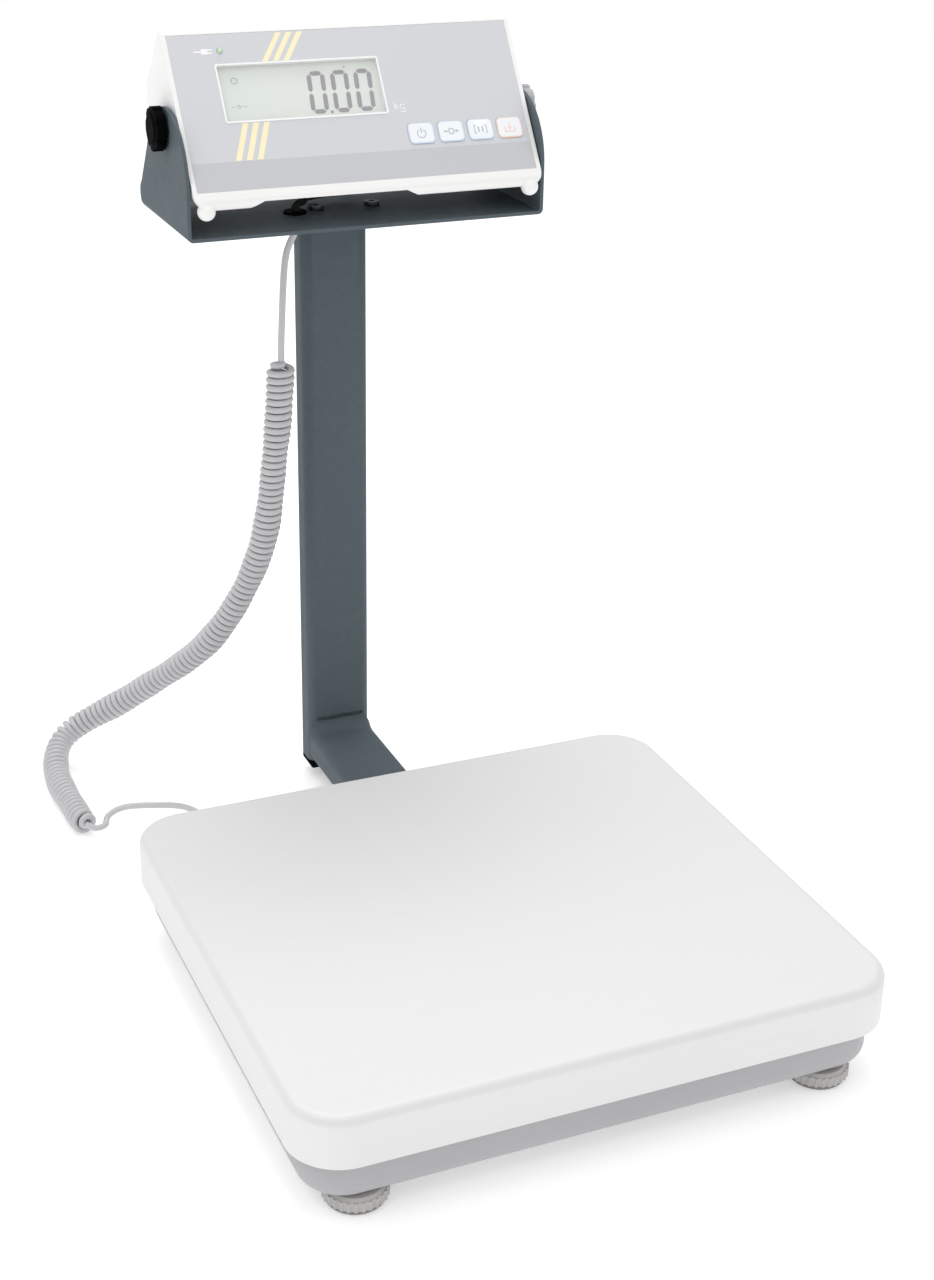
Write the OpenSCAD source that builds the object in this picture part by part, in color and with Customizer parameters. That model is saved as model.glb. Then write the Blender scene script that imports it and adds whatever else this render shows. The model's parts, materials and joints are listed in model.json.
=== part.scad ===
// Platform shipping scale: a low platform with a lift-off stainless pan, a rear stand and a tilting display.
// Millimetres. The origin is on the floor under the middle of the pan: +X right, +Y to the rear, +Z up.

/* [Platform] */
// Width of the weighing pan
pan_w = 320; // [300:5:340]
// Depth of the weighing pan, front to rear
pan_d = 300; // [290:5:320]
// Height of the pan's top above the floor
pan_top_z = 63; // [62:0.5:65]
// Height of the pan's folded skirt
pan_skirt_h = 28; // [26:1:29]
// Plan radius of the pan's corners
pan_corner_r = 28; // [24:1:32]
// Radius of the fold between the pan's top and its skirt
pan_fold_r = 5; // [3:0.5:7]
// Thickness of the pan's steel sheet
pan_sheet = 1.2; // [1:0.1:1.5]
// How far the base frame stands inside the pan's outline
base_inset = 6; // [5:0.5:8]
// Height of the base frame's underside above the floor
base_bottom_z = 10.5; // [10.5:0.5:11.5]

/* [Levelling feet] */
// Radius of the ribbed foot discs
foot_r = 16.4; // [14:0.2:17]
// Distance of a foot's axis from the pan's side edge
foot_inset_x = 33.3; // [33:0.1:36]
// Distance of a foot's axis from the pan's front or rear edge
foot_inset_y = 22.7; // [22.7:0.1:26]
// Number of grip ribs round a foot disc
foot_ribs = 28; // [20:1:36]

/* [Stand] */
// Sideways place of the stand's centre line
stand_x = 10; // [0:1:14]
// Width of the column tube and of the arm
tube_w = 41; // [38:1:43]
// Depth of the column tube and height of the arm
tube_d = 20; // [18:0.5:20]
// Distance of the column's centre line behind the pan's centre
column_y = 277; // [272:0.5:282]
// Height of the column's lower end above the floor
column_bottom_z = 12; // [11:0.5:14]
// Width of the display bracket over its ears
bracket_w = 210; // [209:1:212]
// Height of the bracket tray's underside
tray_z = 373; // [370:1:376]
// Place of the tray's front edge
tray_front_y = 208; // [206:0.5:209]
// Place of the tray's rear edge
tray_rear_y = 304.5; // [302:0.5:306]
// Height of the display's tilt axis
pivot_z = 427; // [426:0.5:428]
// Place of the display's tilt axis, front to rear
pivot_y = 248; // [247:0.5:250]

/* [Display] */
// Width of the display housing
housing_w = 204; // [203:0.5:204]
// Lean of the display's face from upright, in degrees
face_lean = 34.5; // [34:0.1:35]
// Width of the face plate
plate_w = 199; // [196:0.5:199]
// Height of the face plate along the slope
plate_h = 89.8; // [88:0.2:90]
// Width of the readout window
window_w = 92.5; // [90:0.5:94]
// Height of the readout window
window_h = 32.5; // [31:0.5:33]
// Width of a key
key_w = 15.2; // [15:0.1:15.4]
// Height of a key
key_h = 12.2; // [12:0.1:12.8]
// Distance from one key to the next
key_pitch = 17.9; // [17.6:0.1:18]
// Diameter of the tilt knobs
knob_d = 24; // [22:0.5:26]

/* [Spring cord] */
// Outer radius of the coiled part
coil_r = 8.2; // [7.6:0.1:8.4]
// Radius of the plain leads
lead_r = 2.1; // [1.9:0.1:2.1]

/* [Hidden] */
$fn = 64;

eps = 0.01;             // overlap that keeps a cut from ending exactly on a face
cut = 1;                // how far a cut runs past the face it opens

// Base frame
base_w = pan_w - 2 * base_inset;
base_d = pan_d - 2 * base_inset;
base_corner_r = pan_corner_r - 4;
base_top_z = 40;
base_wall = 2.5;
base_floor = 3;
base_edge_r = 9;
floor_z = base_bottom_z + base_floor;
pan_bottom_z = pan_top_z - pan_skirt_h;
pan_under_z = pan_top_z - pan_sheet;

// Feet: one sole, one disc with its stud, one bushing each
foot_x = pan_w / 2 - foot_inset_x;
foot_y = pan_d / 2 - foot_inset_y;
sole_h = 3;
disc_h = 6.6;
disc_chamfer = 1.5;
rib_gap_r = 1.5;
stud_r = 5;
stud_top_z = 36;
bushing_r = 8;
bushing_h = 12;
boss_wall = 3;
boss_extra_h = 2;
running_gap = 0.05;
screw_gap = 0.3;
thread_gap = 0.02;

// Load cell stack
cell_l = 130;
cell_w = 30;
cell_h = 22;
spacer_l = 32;
lower_spacer_h = 3;
cell_z = floor_z + lower_spacer_h;
cell_top_z = cell_z + cell_h;
cell_bolt_x = [39, 55];
cell_bolt_r = 3;
cell_bolt_depth = 11;
bolt_head_r = 5;
cell_cutout_x = 11;
cell_cutout_r = 7;
cell_slit = 4;
spider_top_z = 57;
spider_sheet = 2.5;
spider_flange_z = 47;
spider_bar_x = 100;
spider_bar_w = 30;
spider_bar_l = 250;
spider_cross_w = 60;
pad_y = 110;
stop_y = 88;
stop_gap = 1.2;
stop_r = 3;
stop_nut_r = 5.5;
stop_nut_h = 5;
floor_rib_x = 118;
floor_rib_t = 3;
floor_rib_h = 8;
cord_gland_x = -100;
cord_gland_z = 27;
cord_gland_r = 4;
cell_lead_r = 1.6;
base_wall_y = base_d / 2;

// Stand
tube_wall = 2;
tube_edge_r = 6;
arm_edge_r = 5;
arm_gap = 0.3;
arm_bolt_dx = 9;
arm_bolt_y = [76, 116];
nut_plate_h = 5;
bead_r = 1.5;
arm_z = floor_z;
arm_top_z = arm_z + tube_d;
arm_front_y = 60;
column_front_y = column_y - tube_d / 2;
arm_flare_r = 8;
arm_mid_z = arm_z + tube_d / 2;
top_plate_t = 3;
top_plate_w = 48;
top_plate_d = 54;
top_plate_y = column_y - 3.4;
column_top_z = tray_z - top_plate_t;
plug_drop = 7.5;
sheet = 2;
tray_top_z = tray_z + sheet;
tray_d = tray_rear_y - tray_front_y;
ear_arch_r = 38;
ear_centre = [tray_front_y + ear_arch_r, tray_z + 27.5];
ear_rear_z = tray_z + 9;
ear_rear_r = 8;
bracket_screw_dx = 17;
bracket_screw_dy = 21;
bracket_screw_r = 2.45;
grommet_x = stand_x - 31;
grommet_y = 248;
grommet_r = 4.5;
grommet_flange_r = 6.5;
grommet_flange_t = 1.5;

// Display
face_y = 206.5;
face_z = 399.9;
shell_wall = 2.5;
housing_bottom_z = 390;
housing_apex_z = 478.4;
housing_rear_y = 291;
housing_shoulder_z = 443;
housing_round = 4;
notch_top_z = 394;
notch_x = [-63, 19.5];
notch_bevel = 2;
housing_foot_x = 95;
housing_foot_y = 206;
housing_foot_r = 5;
housing_corner_r = 10;
display_gland_x = stand_x + 14;
display_gland_y = 262;
display_gland_z = 386;
display_gland_r = 4;
split_depth = 28;
plate_t = 0.8;
window_u = -28.75;
window_v = 55.2;
key_u = [for (i = [0 : 3]) 34.6 + i * key_pitch];
key_v = 25.4;
led_u = -71.1;
led_v = 79.8;
led_r = 1.5;
board_depth = 12;
board_t = 1.6;
knob_stud_r = 3;
insert_r = 5;
insert_l = 12;
boss_r = 8;
washer_t = 0.9;
post_x = 88;
post_z = [404, 434];
cover_w = 70;
cover_h = 36;
cover_z = 416;
socket_x = 64;
socket_z = 428;
socket_bore_r = 2.8;

steel_grey = [0.85, 0.85, 0.84];
base_grey = [0.69, 0.69, 0.7];
coat_grey = [0.31, 0.35, 0.38];
shell_white = [0.95, 0.95, 0.94];
zinc = [0.76, 0.76, 0.74];
brass = [0.78, 0.62, 0.3];
black = [0.04, 0.04, 0.04];
cord_grey = [0.68, 0.68, 0.7];
foot_grey = [0.74, 0.73, 0.72];
alloy = [0.8, 0.81, 0.82];

// ---------------------------------------------------------------- helpers

// A centred rectangle with true round corners.
module rounded_rect(w, d, r) {
    square([w - 2 * r, d], center = true);
    square([w, d - 2 * r], center = true);
    for (sx = [-1, 1], sy = [-1, 1])
        translate([sx * (w / 2 - r), sy * (d / 2 - r)])
            circle(r);
}

// Extrudes a drawing made in (y, z) along +X.
module along_x(x, length) {
    translate([x, 0, 0])
        rotate([90, 0, 90])
            linear_extrude(length)
                children();
}

// Extrudes a drawing made in (x, z) along +Y.
module along_y(y, length) {
    translate([0, y + length, 0])
        rotate([90, 0, 0])
            linear_extrude(length)
                children();
}

// A cylinder from y along +Y.
module rod_y(x, y, z, r, length) {
    translate([x, y, z])
        rotate([-90, 0, 0])
            cylinder(r = r, h = length);
}

// A cylinder from x along +X.
module rod_x(x, y, z, r, length) {
    translate([x, y, z])
        rotate([0, 90, 0])
            cylinder(r = r, h = length);
}

// The area from x = 0 to w and from y = 0 to h, with its upper outer corner rounded.
module round_shouldered(w, h, r) {
    square([w, h - r]);
    square([w - r, h]);
    translate([w - r, h - r])
        circle(r);
}

// Sweeps a drawing round a rounded rectangle. Its x = 0 lies on the corners' centres.
module swept_rim(w, d, r) {
    for (k = [0 : 3]) {
        side = (k % 2 == 0) ? [w, d] : [d, w];
        rotate([0, 0, 90 * k]) {
            translate([side[0] / 2 - r, side[1] / 2 - r, 0])
                rotate_extrude(angle = 90)
                    children();
            along_y(r - side[1] / 2, side[1] - 2 * r)
                translate([side[0] / 2 - r, 0])
                    children();
        }
    }
}

// The plate that fills the space between the four sides of swept_rim().
module rim_middle(w, d, r, z, t) {
    translate([r - w / 2, r - d / 2, z])
        cube([w - 2 * r, d - 2 * r, t]);
}

function unit(v) = v / norm(v);
function left_of(v) = [-v[1], v[0]];

// Corner b of an anticlockwise outline a, b, c moved inwards by r from both its sides.
function inset_corner(a, b, c, r) =
    let (n1 = left_of(unit(b - a)), n2 = left_of(unit(c - b)))
        b + (n1 + n2) * r / (1 + n1 * n2);

function inset(points, r) =
    let (n = len(points))
        [for (i = [0 : n - 1]) inset_corner(points[(i + n - 1) % n], points[i], points[(i + 1) % n], r)];

// An anticlockwise outline with every corner rounded by a true arc.
module rounded_polygon(points, r) {
    n = len(points);
    centres = inset(points, r);
    polygon(centres);
    for (i = [0 : n - 1]) {
        a = centres[i];
        b = centres[(i + 1) % n];
        outward = -r * left_of(unit(b - a));
        translate(a)
            circle(r);
        polygon([a, a + outward, b + outward, b]);
    }
}

// Places a part drawn on the display's face: x across, y up the slope, z out of the face.
module on_face() {
    translate([stand_x, face_y, face_z])
        rotate([90 - face_lean, 0, 0])
            children();
}

// A plate on the face, centred at (u, v), from depth w to w + t.
module face_slab(u, v, w, size_u, size_v, t, r) {
    on_face()
        translate([u, v, w])
            linear_extrude(t)
                rounded_rect(size_u, size_v, r);
}

module screw(x, y, z, shank_r, shank_l, head_r, head_h) {
    // the head sits on z and the shank hangs below it
    translate([x, y, z - shank_l])
        cylinder(r = shank_r, h = shank_l);
    translate([x, y, z]) {
        difference() {
            cylinder(r = head_r, h = head_h);
            translate([0, 0, head_h / 2])
                cylinder(r = head_r / 2.4, h = head_h, $fn = 6);
        }
    }
}

// ---------------------------------------------------------------- platform

module weighing_pan() {
    color(steel_grey)
        union() {
            translate([0, 0, pan_bottom_z])
                swept_rim(pan_w, pan_d, pan_corner_r)
                    difference() {
                        round_shouldered(pan_corner_r, pan_skirt_h, pan_fold_r);
                        translate([-cut, -cut])
                            round_shouldered(pan_corner_r - pan_sheet + cut, pan_skirt_h - pan_sheet + cut,
                                pan_fold_r - pan_sheet);
                    }
            rim_middle(pan_w, pan_d, pan_corner_r, pan_under_z, pan_sheet);
        }
}

module pan_pads() {
    color(black)
        for (sx = [-1, 1], sy = [-1, 1])
            translate([sx * spider_bar_x, sy * pad_y, spider_top_z])
                cylinder(r = 9, h = pan_under_z - spider_top_z);
}

// An inverted channel: a web on top with a flange down each side.
module channel(w, l, flange_z) {
    translate([-w / 2, -l / 2, spider_top_z - spider_sheet])
        cube([w, l, spider_sheet]);
    for (sx = [-1, 1])
        translate([sx * (w - spider_sheet) / 2 - spider_sheet / 2, -l / 2, flange_z])
            cube([spider_sheet, l, spider_top_z - flange_z]);
}

module load_spider() {
    color(zinc)
        difference() {
            union() {
                for (sx = [-1, 1])
                    translate([sx * spider_bar_x, 0, 0])
                        channel(spider_bar_w, spider_bar_l, spider_flange_z);
                rotate([0, 0, 90])
                    channel(spider_cross_w, 2 * spider_bar_x - spider_bar_w + 2 * spider_sheet, spider_flange_z);
            }
            for (x = cell_bolt_x)
                translate([x, 0, spider_flange_z])
                    cylinder(r = cell_bolt_r + screw_gap, h = spider_top_z - spider_flange_z + cut);
            for (sx = [-1, 1], sy = [-1, 1])
                translate([sx * spider_bar_x, sy * stop_y, spider_flange_z])
                    cylinder(r = stop_r + thread_gap, h = spider_top_z - spider_flange_z + cut);
        }
}

module overload_stops() {
    color(zinc)
        for (sx = [-1, 1], sy = [-1, 1])
            translate([sx * spider_bar_x, sy * stop_y, 0]) {
                translate([0, 0, floor_z + stop_gap])
                    cylinder(r = stop_r, h = spider_top_z + 1 - floor_z - stop_gap);
                translate([0, 0, spider_top_z - spider_sheet - stop_nut_h])
                    cylinder(r = stop_nut_r, h = stop_nut_h, $fn = 6);
            }
}

module load_cell() {
    mid_z = cell_z + cell_h / 2;
    color(alloy)
        difference() {
            translate([-cell_l / 2, -cell_w / 2, cell_z])
                cube([cell_l, cell_w, cell_h]);
            for (sx = [-1, 1])
                rod_y(sx * cell_cutout_x, -cell_w / 2 - cut, mid_z, cell_cutout_r, cell_w + 2 * cut);
            translate([-cell_cutout_x, -cell_w / 2 - cut, mid_z - cell_slit / 2])
                cube([2 * cell_cutout_x, cell_w + 2 * cut, cell_slit]);
            for (x = cell_bolt_x) {
                translate([x, 0, cell_top_z - cell_bolt_depth - 1])
                    cylinder(r = cell_bolt_r + thread_gap, h = cell_bolt_depth + 1 + cut);
                translate([-x, 0, cell_z - cut])
                    cylinder(r = cell_bolt_r + thread_gap, h = cell_bolt_depth + 1 + cut);
            }
        }
}

// A block under or over one end of the load cell, bored for its two bolts.
module cell_spacer(side, z, h) {
    middle_x = (cell_bolt_x[0] + cell_bolt_x[1]) / 2;
    difference() {
        translate([side * middle_x - spacer_l / 2, -cell_w / 2, z])
            cube([spacer_l, cell_w, h]);
        for (x = cell_bolt_x)
            translate([side * x, 0, z - cut])
                cylinder(r = cell_bolt_r + screw_gap, h = h + 2 * cut);
    }
}

module lower_spacer() {
    color(zinc)
        cell_spacer(-1, floor_z, lower_spacer_h);
}

module upper_spacer() {
    color(alloy)
        cell_spacer(1, cell_top_z, spider_top_z - spider_sheet - cell_top_z);
}

module upper_cell_bolts() {
    color(zinc)
        for (x = cell_bolt_x)
            screw(x, 0, spider_top_z, cell_bolt_r, spider_top_z - cell_top_z + cell_bolt_depth, bolt_head_r, 3.5);
}

module lower_cell_bolts() {
    color(zinc)
        for (x = cell_bolt_x)
            mirror([0, 0, 1])
                screw(-x, 0, -base_bottom_z, cell_bolt_r, base_floor + lower_spacer_h + cell_bolt_depth, bolt_head_r,
                    3.5);
}

module base_frame() {
    rim_h = base_top_z - base_bottom_z;
    color(base_grey)
        difference() {
            union() {
                translate([0, 0, base_top_z])
                    mirror([0, 0, 1])
                        swept_rim(base_w, base_d, base_corner_r)
                            difference() {
                                round_shouldered(base_corner_r, rim_h, base_edge_r);
                                translate([-cut, -cut])
                                    round_shouldered(base_corner_r - base_wall + cut, rim_h - base_floor + cut,
                                        base_edge_r - base_wall);
                            }
                rim_middle(base_w, base_d, base_corner_r, base_bottom_z, base_floor);
                for (sx = [-1, 1], sy = [-1, 1])
                    translate([sx * foot_x, sy * foot_y, base_bottom_z])
                        cylinder(r = bushing_r + boss_wall, h = bushing_h + boss_extra_h);
                for (sx = [-1, 1])
                    translate([sx * floor_rib_x - floor_rib_t / 2, -foot_y, floor_z - eps])
                        cube([floor_rib_t, 2 * foot_y, floor_rib_h]);
            }
            for (sx = [-1, 1], sy = [-1, 1])
                translate([sx * foot_x, sy * foot_y, base_bottom_z - cut])
                    cylinder(r = bushing_r, h = bushing_h + boss_extra_h + 2 * cut);
            for (x = cell_bolt_x)
                translate([-x, 0, base_bottom_z - cut])
                    cylinder(r = cell_bolt_r + screw_gap, h = base_floor + 2 * cut);
            for (p = arm_bolt_places())
                translate([p[0], p[1], base_bottom_z - cut])
                    cylinder(r = cell_bolt_r + screw_gap, h = base_floor + 2 * cut);
            translate([stand_x - tube_w / 2 - arm_gap, base_wall_y - base_edge_r - base_wall, floor_z])
                cube([tube_w + 2 * arm_gap, base_edge_r + base_wall + cut, tube_d + arm_gap]);
            rod_y(cord_gland_x, base_wall_y - 2 * base_wall, cord_gland_z, cord_gland_r, 3 * base_wall);
        }
}

function arm_bolt_places() = [for (dx = [-arm_bolt_dx, arm_bolt_dx], y = arm_bolt_y) [stand_x + dx, y]];

module base_cable_gland() {
    color(black)
        difference() {
            union() {
                rod_y(cord_gland_x, base_wall_y - 4, cord_gland_z, cord_gland_r, 8);
                rod_y(cord_gland_x, base_wall_y, cord_gland_z, cord_gland_r + 2, 3);
                rod_y(cord_gland_x, base_wall_y + 3, cord_gland_z, cord_gland_r + 0.6, 6);
            }
            rod_y(cord_gland_x, base_wall_y - 5, cord_gland_z, lead_r + running_gap, 16);
        }
}

// A bar swept through the given points, with its own radius at each point.
module swept_bar(points, radii) {
    n = len(points);
    sides = bar_sides;
    rings = [for (i = [0 : n - 1])
        let (along = unit(points[min(i + 1, n - 1)] - points[max(i - 1, 0)]),
            across = unit(cross(along, bar_reference)),
            over = cross(along, across))
            [for (k = [0 : sides - 1])
                points[i] + radii[i] * (cos(k * 360 / sides) * across + sin(k * 360 / sides) * over)]];
    walls = [for (i = [0 : n - 2], k = [0 : sides - 1])
        let (a = i * sides + k, b = i * sides + (k + 1) % sides)
            each [[a, b, b + sides], [a, b + sides, a + sides]]];
    ends = [[for (k = [sides - 1 : -1 : 0]) k], [for (k = [0 : sides - 1]) (n - 1) * sides + k]];
    polyhedron([for (ring = rings) each ring], concat(walls, ends));
}

function constant(value, count) = [for (i = [1 : count]) value];

// The cell's lead runs along the floor, past the left rear overload stop, into the cord gland.
module load_cell_lead() {
    start = [-cell_l / 2 - 0.2, 0, cell_z + cell_h / 2];
    line = smooth_line([start, start - [2, 0, 0], start - [4, 0, 0], [-86, 12, floor_z + 8], [-106, 40, floor_z + 6],
        [cord_gland_x - 10, stop_y, floor_z + 6], [cord_gland_x - 4, 118, cord_gland_z - 3],
        [cord_gland_x, base_wall_y - 12, cord_gland_z], [cord_gland_x, base_wall_y - 2, cord_gland_z]], 2);
    color(cord_grey)
        swept_bar(line, constant(cell_lead_r, len(line)));
}

// ---------------------------------------------------------------- levelling feet

module foot_bushings() {
    color(brass)
        for (sx = [-1, 1], sy = [-1, 1])
            translate([sx * foot_x, sy * foot_y, base_bottom_z])
                difference() {
                    cylinder(r = bushing_r, h = bushing_h);
                    translate([0, 0, -cut])
                        cylinder(r = stud_r + running_gap, h = bushing_h + 2 * cut);
                }
}

// A ribbed hand disc with its levelling stud.
module foot_disc(sx, sy) {
    color(foot_grey)
        translate([sx * foot_x, sy * foot_y, sole_h]) {
            linear_extrude(disc_h - disc_chamfer)
                difference() {
                    circle(foot_r);
                    for (i = [0 : foot_ribs - 1])
                        rotate(i * 360 / foot_ribs)
                            translate([foot_r + 0.6, 0])
                                circle(rib_gap_r);
                }
            translate([0, 0, disc_h - disc_chamfer - eps])
                cylinder(r1 = foot_r - 1.2, r2 = foot_r - 2.6, h = disc_chamfer + eps);
            translate([0, 0, disc_h - eps])
                cylinder(r = stud_r, h = stud_top_z - sole_h - disc_h);
        }
}

// A rubber sole with a rounded lower edge.
module foot_sole(sx, sy) {
    sole_r = foot_r - 1.6;
    edge_r = 1.5;
    color(black)
        translate([sx * foot_x, sy * foot_y, 0])
            rotate_extrude() {
                square([sole_r - edge_r, sole_h]);
                translate([0, edge_r])
                    square([sole_r, sole_h - edge_r]);
                translate([sole_r - edge_r, edge_r])
                    circle(edge_r);
            }
}

// ---------------------------------------------------------------- stand

module stand_arm() {
    length = column_front_y - arm_front_y;
    color(coat_grey)
        difference() {
            union() {
                along_y(arm_front_y, length - arm_flare_r)
                    translate([stand_x, arm_mid_z])
                        rounded_rect(tube_w, tube_d, arm_edge_r);
                arm_bend();
            }
            along_y(arm_front_y - cut, length - arm_flare_r)
                translate([stand_x, arm_mid_z])
                    rounded_rect(tube_w - 2 * tube_wall, tube_d - 2 * tube_wall, arm_edge_r - tube_wall);
            for (p = arm_bolt_places())
                translate([p[0], p[1], arm_z - cut])
                    cylinder(r = cell_bolt_r + screw_gap, h = tube_wall + 2 * cut);
        }
}

// The arm's rear end: its section sweeps upwards and is cut off flat against the column's front.
module arm_bend() {
    intersection() {
        translate([stand_x, column_front_y - arm_flare_r, arm_top_z + arm_flare_r])
            rotate([0, 90, 0])
                rotate_extrude(angle = 90)
                    translate([arm_flare_r + tube_d / 2, 0])
                        rounded_rect(tube_d, tube_w, arm_edge_r);
        translate([stand_x - tube_w / 2 - cut, column_front_y - arm_flare_r - cut, arm_z - cut])
            cube([tube_w + 2 * cut, arm_flare_r + cut, tube_d + arm_flare_r + 2 * cut]);
    }
}

module weld_bead() {
    bead_w = tube_w - 2 * tube_edge_r;
    color(coat_grey)
        along_x(stand_x - bead_w / 2, bead_w)
            difference() {
                translate([column_front_y, arm_top_z + arm_flare_r + 0.9])
                    circle(bead_r);
                difference() {
                    translate([column_front_y - arm_flare_r, arm_top_z])
                        square([arm_flare_r, arm_flare_r + running_gap]);
                    translate([column_front_y - arm_flare_r, arm_top_z + arm_flare_r])
                        circle(arm_flare_r - running_gap);
                }
                translate([column_front_y, arm_top_z])
                    square([tube_d, 2 * arm_flare_r]);
            }
}

module arm_nut_plate() {
    color(zinc)
        difference() {
            translate([stand_x - 15, arm_bolt_y[0] - 10, arm_z + tube_wall])
                cube([30, arm_bolt_y[1] - arm_bolt_y[0] + 20, nut_plate_h]);
            for (p = arm_bolt_places())
                translate([p[0], p[1], arm_z])
                    cylinder(r = cell_bolt_r + thread_gap, h = tube_wall + nut_plate_h + cut);
        }
}

module arm_bolts() {
    color(zinc)
        for (p = arm_bolt_places())
            mirror([0, 0, 1])
                screw(p[0], p[1], -base_bottom_z, cell_bolt_r, base_floor + tube_wall + nut_plate_h, bolt_head_r,
                    3.2);
}

module column() {
    color(coat_grey)
        translate([stand_x, column_y, column_bottom_z])
            linear_extrude(column_top_z - column_bottom_z)
                difference() {
                    rounded_rect(tube_w, tube_d, tube_edge_r);
                    rounded_rect(tube_w - 2 * tube_wall, tube_d - 2 * tube_wall, tube_edge_r - tube_wall);
                }
}

// A plastic plug that closes the column's lower end, rounded where it shows.
module column_end_plug() {
    plug_gap = 0.15;
    plug_in = 14;
    color(black) {
        intersection() {
            along_y(column_front_y, tube_d)
                translate([stand_x, column_bottom_z])
                    plug_outline(tube_w);
            along_x(stand_x - tube_w / 2, tube_w)
                translate([column_y, column_bottom_z])
                    plug_outline(tube_d);
            translate([stand_x, column_y, column_bottom_z - plug_drop])
                linear_extrude(plug_drop)
                    rounded_rect(tube_w, tube_d, tube_edge_r);
        }
        translate([stand_x, column_y, column_bottom_z - eps])
            linear_extrude(plug_in)
                rounded_rect(tube_w - 2 * (tube_wall + plug_gap), tube_d - 2 * (tube_wall + plug_gap),
                    tube_edge_r - tube_wall - plug_gap);
    }
}

// The plug's side view: flat on top at z = 0, with two round lower corners.
module plug_outline(w) {
    r = 7;
    difference() {
        union() {
            translate([-w / 2, r - plug_drop])
                square([w, plug_drop]);
            translate([r - w / 2, -plug_drop])
                square([w - 2 * r, plug_drop]);
            for (s = [-1, 1])
                translate([s * (w / 2 - r), r - plug_drop])
                    circle(r);
        }
        translate([-w / 2 - cut, 0])
            square([w + 2 * cut, plug_drop + r]);
    }
}

function bracket_screw_places() =
    [for (sx = [-1, 1], sy = [-1, 1]) [stand_x + sx * bracket_screw_dx, top_plate_y + sy * bracket_screw_dy]];

module column_top_plate() {
    color(coat_grey)
        difference() {
            translate([stand_x, top_plate_y, column_top_z])
                linear_extrude(top_plate_t)
                    rounded_rect(top_plate_w, top_plate_d, 4);
            for (p = bracket_screw_places())
                translate([p[0], p[1], column_top_z - cut])
                    cylinder(r = bracket_screw_r + thread_gap, h = top_plate_t + 2 * cut);
        }
}

// The ear's outline in (y, z): an upright front, an arch, and a straight slope down to a low rear edge.
module ear_outline() {
    rear = [tray_rear_y, ear_rear_z] - ear_centre;
    slope_angle = atan2(rear[1], rear[0]) + acos(ear_arch_r / norm(rear));
    polygon([[tray_front_y, tray_z], [tray_rear_y - ear_rear_r, tray_z], [tray_rear_y, tray_z + ear_rear_r],
        [tray_rear_y, ear_rear_z], ear_centre + ear_arch_r * [cos(slope_angle), sin(slope_angle)],
        ear_centre, [tray_front_y, ear_centre[1]]]);
    translate([tray_rear_y - ear_rear_r, tray_z + ear_rear_r])
        circle(ear_rear_r);
    translate(ear_centre)
        circle(ear_arch_r);
}

// The bracket's folded section in (x, z): a tray with an ear up each side.
module bracket_section() {
    fold_r = 3;
    tall = 80;
    difference() {
        translate([stand_x, tray_z + tall])
            mirror([0, 1])
                section_half(bracket_w, tall, fold_r);
        translate([stand_x, tray_z + tall + cut])
            mirror([0, 1])
                section_half(bracket_w - 2 * sheet, tall - sheet + cut, fold_r - sheet);
    }
}

module section_half(w, h, r) {
    for (s = [0, 1])
        mirror([s, 0])
            round_shouldered(w / 2, h, r);
}

module bracket() {
    color(coat_grey)
        difference() {
            intersection() {
                along_y(tray_front_y, tray_d)
                    bracket_section();
                along_x(stand_x - bracket_w / 2, bracket_w)
                    ear_outline();
            }
            rod_x(stand_x - bracket_w / 2 - cut, pivot_y, pivot_z, knob_stud_r + screw_gap, bracket_w + 2 * cut);
            translate([grommet_x, grommet_y, tray_z - cut])
                cylinder(r = grommet_r, h = sheet + 2 * cut);
            for (p = bracket_screw_places())
                translate([p[0], p[1], tray_z - cut])
                    cylinder(r = bracket_screw_r + screw_gap, h = sheet + 2 * cut);
        }
}

module bracket_screws() {
    color(zinc)
        for (p = bracket_screw_places())
            screw(p[0], p[1], tray_top_z, bracket_screw_r, sheet + top_plate_t + 4, 4.4, 2.6);
}

module cable_grommet() {
    color(black)
        translate([grommet_x, grommet_y, 0])
            difference() {
                union() {
                    for (z = [tray_top_z, tray_z - grommet_flange_t])
                        translate([0, 0, z])
                            cylinder(r = grommet_flange_r, h = grommet_flange_t);
                    translate([0, 0, tray_z - grommet_flange_t])
                        cylinder(r = grommet_r - running_gap, h = sheet + 2 * grommet_flange_t);
                }
                translate([0, 0, tray_z - grommet_flange_t - cut])
                    cylinder(r = lead_r + running_gap, h = sheet + 2 * grommet_flange_t + 2 * cut);
            }
}

// ---------------------------------------------------------------- cords

// Middle line of the coiled part, from under the tray down to the floor and round to the platform.
coil_line = [[-30.5, 250, 288], [-34.5, 252, 235], [-43, 262, 165], [-69, 285, 102], [-109, 325, 53],
    [-150, 345, 22], [-165, 318, 10], [-165, 264, 9], [-163, 246, 9]];
coil_steps = 3;

// Sides of a swept bar's section, and a direction that no swept bar runs along.
bar_sides = 12;
bar_reference = [0.5, 0.5, 0.7];

// A point on the smooth curve from b to c, with a and d as the neighbours.
function curve_point(a, b, c, d, t) =
    (2 * b + (c - a) * t + (2 * a - 5 * b + 4 * c - d) * t * t + (3 * b - a - 3 * c + d) * t * t * t) / 2;

function smooth_line(p, steps) =
    let (n = len(p))
        concat([for (i = [0 : n - 2], s = [0 : steps - 1])
            curve_point(p[max(i - 1, 0)], p[i], p[i + 1], p[min(i + 2, n - 1)], s / steps)], [p[n - 1]]);

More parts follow.
